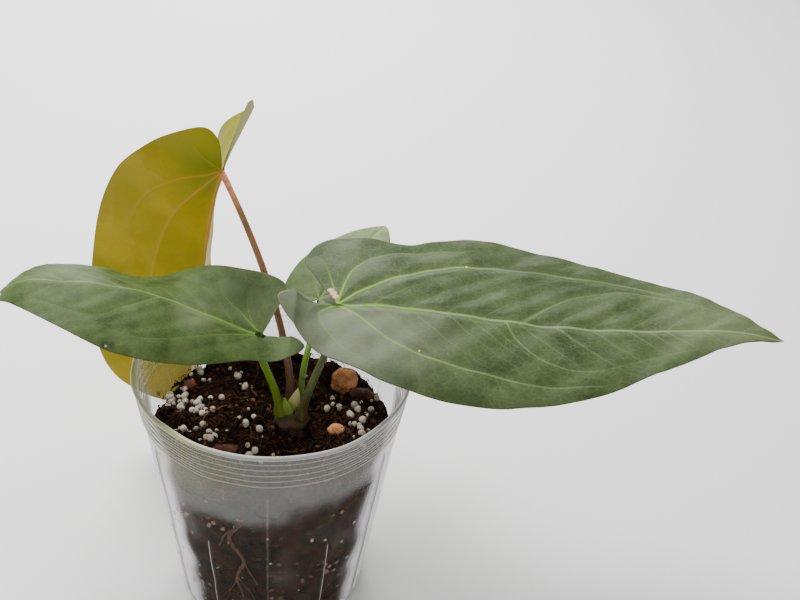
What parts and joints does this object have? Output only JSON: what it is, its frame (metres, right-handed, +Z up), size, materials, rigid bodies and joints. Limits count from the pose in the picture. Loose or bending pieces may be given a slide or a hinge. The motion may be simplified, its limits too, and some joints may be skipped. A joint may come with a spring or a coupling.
{
  "type": "potted anthurium",
  "caption": "Young potted anthurium with long heart-shaped velvety leaves on slim stalks, rooted in coir and perlite in a translucent soft nursery pot.",
  "frame": {"origin": "centre of the pot's flat underside, on the table", "axes": "+Z up along the pot's axis, +X along the longest leaf, -Y the front"},
  "size_m": [0.2976, 0.1692, 0.1973],
  "materials": {
    "pot_plastic": "translucent, frosted, scuffed",
    "growing_medium": "crumbly coir and peat, damp",
    "crown": "matte, fleshy",
    "root": "matte, fleshy",
    "stalk_green": "smooth, faint sheen",
    "stalk_coppery": "smooth, faint sheen",
    "leaf_velvet": "velvety with pale veins",
    "leaf_pale": "soft, young leaf",
    "leaf_golden": "underside, light shows through",
    "sheath": "papery",
    "perlite": "porous, chalky",
    "bark": "fibrous",
    "clay_stone": "porous fired clay"
  },
  "bodies": {
    "root": {"bark_chunk": "bark", "bark_flake": "bark", "cataphyll_green": "sheath", "cataphyll_pale": "sheath", "growing_medium": "growing_medium", "leaf_blade_back": "leaf_golden", "leaf_blade_left": "leaf_velvet", "leaf_blade_right": "leaf_velvet", "leaf_blade_small": "leaf_pale", "perlite_01": "perlite", "perlite_02": "perlite", "perlite_03": "perlite", "perlite_04": "perlite", "perlite_05": "perlite", "perlite_06": "perlite", "perlite_07": "perlite", "perlite_08": "perlite", "perlite_09": "perlite", "perlite_10": "perlite", "perlite_11": "perlite", "perlite_12": "perlite", "perlite_13": "perlite", "perlite_14": "perlite", "perlite_15": "perlite", "perlite_16": "perlite", "perlite_17": "perlite", "perlite_18": "perlite", "perlite_19": "perlite", "perlite_20": "perlite", "petiole_back": "stalk_coppery", "petiole_left": "stalk_green", "petiole_right": "stalk_green", "petiole_small": "stalk_green", "pot_shell": "pot_plastic", "root_crown": "crown", "root_front": "root", "root_left": "root", "root_right": "root", "root_wall": "root", "stone_clay_large": "clay_stone", "stone_clay_small": "clay_stone", "stone_red": "clay_stone"}
  },
  "joints": []
}
